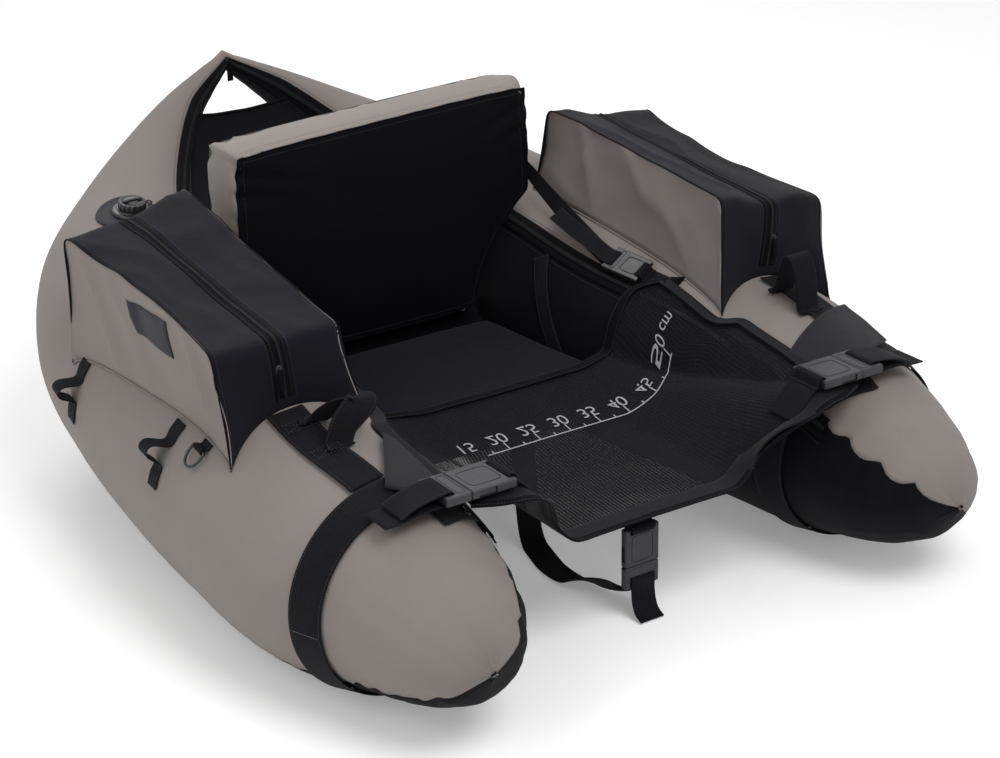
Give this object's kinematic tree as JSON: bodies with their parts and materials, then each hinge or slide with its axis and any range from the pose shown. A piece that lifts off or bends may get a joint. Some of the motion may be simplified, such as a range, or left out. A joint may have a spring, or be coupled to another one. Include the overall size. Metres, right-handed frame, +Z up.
{
  "type": "float tube",
  "caption": "Open-fronted inflatable seat for one angler: two tapered air arms joined at a raised rear, with a seat, a folding backrest, a mesh apron and two zipped bags.",
  "frame": {"origin": "on the ground, midway between the arms and half-way along the hull", "axes": "+Z up; the seated user faces -Y, where the arms are open; left is +X and right is -X"},
  "size_m": [1.0642, 1.3125, 0.5437],
  "materials": {
    "taupe_fabric": "matt coated woven fabric",
    "black_fabric": "matt coated woven fabric",
    "dark_fabric": "matt woven fabric",
    "apron_mesh": "open mesh with woven bindings",
    "black_webbing": "woven webbing",
    "black_plastic": "satin moulded plastic",
    "bladder_film": "smooth film",
    "zip_tape": "woven tape with moulded teeth"
  },
  "bodies": {
    "hull": {"apron": "apron_mesh", "bottom_cover": "black_fabric", "crotch_buckle": "black_plastic", "crotch_strap": "black_webbing", "hull_zip": "zip_tape", "left_backrest_anchor": "black_webbing", "left_backrest_buckle": "black_plastic", "left_backrest_strap": "black_webbing", "left_bag": "taupe_fabric", "left_bag_zip": "zip_tape", "left_bladder": "bladder_film", "left_cross_strap": "black_webbing", "left_front_buckle": "black_plastic", "left_front_d_tab": "black_webbing", "left_front_rod_strap": "black_webbing", "left_handle": "black_webbing", "left_rear_d_tab": "black_webbing", "left_rear_rod_strap": "black_webbing", "left_ring_strap": "black_webbing", "left_valve_body": "black_plastic", "left_valve_patch": "dark_fabric", "rear_panel": "black_fabric", "right_backrest_anchor": "black_webbing", "right_backrest_buckle": "black_plastic", "right_backrest_strap": "black_webbing", "right_bag": "taupe_fabric", "right_bag_zip": "zip_tape", "right_bladder": "bladder_film", "right_cross_strap": "black_webbing", "right_front_buckle": "black_plastic", "right_front_d_tab": "black_webbing", "right_front_rod_strap": "black_webbing", "right_handle": "black_webbing", "right_rear_d_tab": "black_webbing", "right_rear_rod_strap": "black_webbing", "right_ring_strap": "black_webbing", "right_valve_body": "black_plastic", "right_valve_patch": "dark_fabric", "seat_cushion": "dark_fabric", "seat_sling": "black_fabric", "top_cover": "taupe_fabric"},
    "backrest": {"backrest_core": "bladder_film", "backrest_face": "black_fabric", "backrest_gusset": "taupe_fabric"},
    "crotch_clip_body": {"crotch_clip": "black_plastic"},
    "hull_pull_body": {"hull_zip_pull": "zip_tape"},
    "left_backrest_clip_body": {"left_backrest_clip": "black_plastic"},
    "left_front_clip_body": {"left_front_clip": "black_plastic"},
    "left_valve_cap_body": {"left_valve_cap": "black_plastic"},
    "left_bag_slider_body": {"left_bag_slider": "black_plastic"},
    "left_bag_pull_body": {"left_bag_pull": "zip_tape"},
    "left_front_d_ring_body": {"left_front_d_ring": "black_plastic"},
    "left_rear_d_ring_body": {"left_rear_d_ring": "black_plastic"},
    "right_backrest_clip_body": {"right_backrest_clip": "black_plastic"},
    "right_front_clip_body": {"right_front_clip": "black_plastic"},
    "right_valve_cap_body": {"right_valve_cap": "black_plastic"},
    "right_bag_slider_body": {"right_bag_slider": "black_plastic"},
    "right_bag_pull_body": {"right_bag_pull": "zip_tape"},
    "right_front_d_ring_body": {"right_front_d_ring": "black_plastic"},
    "right_rear_d_ring_body": {"right_rear_d_ring": "black_plastic"}
  },
  "joints": [
    {"name": "backrest_fold", "type": "hinge", "parent": "hull", "child": "backrest", "pos_m": [0, 0.203, 0.2053], "axis": [1, 0, 0], "range_deg": [0, 35], "deforming": ["left_backrest_strap", "right_backrest_strap"]},
    {"name": "left_backrest_release", "type": "slide", "parent": "hull", "child": "left_backrest_clip_body", "axis": [-0.1324, 0.9898, 0.052], "range_m": [0, 0.03], "deforming": ["left_backrest_strap"]},
    {"name": "left_front_release", "type": "slide", "parent": "hull", "child": "left_front_clip_body", "axis": [1, 0, 0], "range_m": [0, 0.043], "deforming": ["left_cross_strap"]},
    {"name": "left_valve_cap_turn", "type": "hinge", "parent": "hull", "child": "left_valve_cap_body", "pos_m": [0.29326, 0.39704, 0.38351], "axis": [-0.0131, -0.161, 0.9869], "range_deg": [0, 270]},
    {"name": "left_bag_zip_slide", "type": "slide", "parent": "hull", "child": "left_bag_slider_body", "axis": [0, 0, 1], "range_m": [-0.03, 0.032]},
    {"name": "left_bag_pull_swing", "type": "hinge", "parent": "left_bag_slider_body", "child": "left_bag_pull_body", "pos_m": [0.396, -0.2157, 0.371], "axis": [-1, 0, 0], "range_deg": [0, 140]},
    {"name": "left_front_d_ring_swing", "type": "hinge", "parent": "hull", "child": "left_front_d_ring_body", "pos_m": [0.49049, -0.1685, 0.27387], "axis": [0.0582, -0.9915, -0.1161], "range_deg": [0, 120]},
    {"name": "left_rear_d_ring_swing", "type": "hinge", "parent": "hull", "child": "left_rear_d_ring_body", "pos_m": [0.44642, 0.23101, 0.31782], "axis": [0.1078, -0.9834, -0.1457], "range_deg": [0, 120]},
    {"name": "right_backrest_release", "type": "slide", "parent": "hull", "child": "right_backrest_clip_body", "axis": [0.1324, 0.9898, 0.052], "range_m": [0, 0.03], "deforming": ["right_backrest_strap"]},
    {"name": "right_front_release", "type": "slide", "parent": "hull", "child": "right_front_clip_body", "axis": [-1, 0, 0], "range_m": [0, 0.043], "deforming": ["right_cross_strap"]},
    {"name": "right_valve_cap_turn", "type": "hinge", "parent": "hull", "child": "right_valve_cap_body", "pos_m": [-0.29326, 0.39704, 0.38351], "axis": [0.0131, -0.161, 0.9869], "range_deg": [0, 270]},
    {"name": "right_bag_zip_slide", "type": "slide", "parent": "hull", "child": "right_bag_slider_body", "axis": [0, 0, 1], "range_m": [-0.03, 0.032]},
    {"name": "right_bag_pull_swing", "type": "hinge", "parent": "right_bag_slider_body", "child": "right_bag_pull_body", "pos_m": [-0.396, -0.2157, 0.371], "axis": [-1, 0, 0], "range_deg": [0, 140]},
    {"name": "right_front_d_ring_swing", "type": "hinge", "parent": "hull", "child": "right_front_d_ring_body", "pos_m": [-0.49049, -0.1685, 0.27387], "axis": [0.0582, 0.9915, 0.1161], "range_deg": [0, 120]},
    {"name": "right_rear_d_ring_swing", "type": "hinge", "parent": "hull", "child": "right_rear_d_ring_body", "pos_m": [-0.44642, 0.23101, 0.31782], "axis": [0.1078, 0.9834, 0.1457], "range_deg": [0, 120]},
    {"name": "crotch_release", "type": "slide", "parent": "hull", "child": "crotch_clip_body", "axis": [0, 0, -1], "range_m": [0, 0.036], "deforming": ["crotch_strap"]},
    {"name": "hull_pull_swing", "type": "hinge", "parent": "hull", "child": "hull_pull_body", "pos_m": [0, 0.63212, 0.50436], "axis": [-1, 0, 0], "range_deg": [0, 90]}
  ]
}
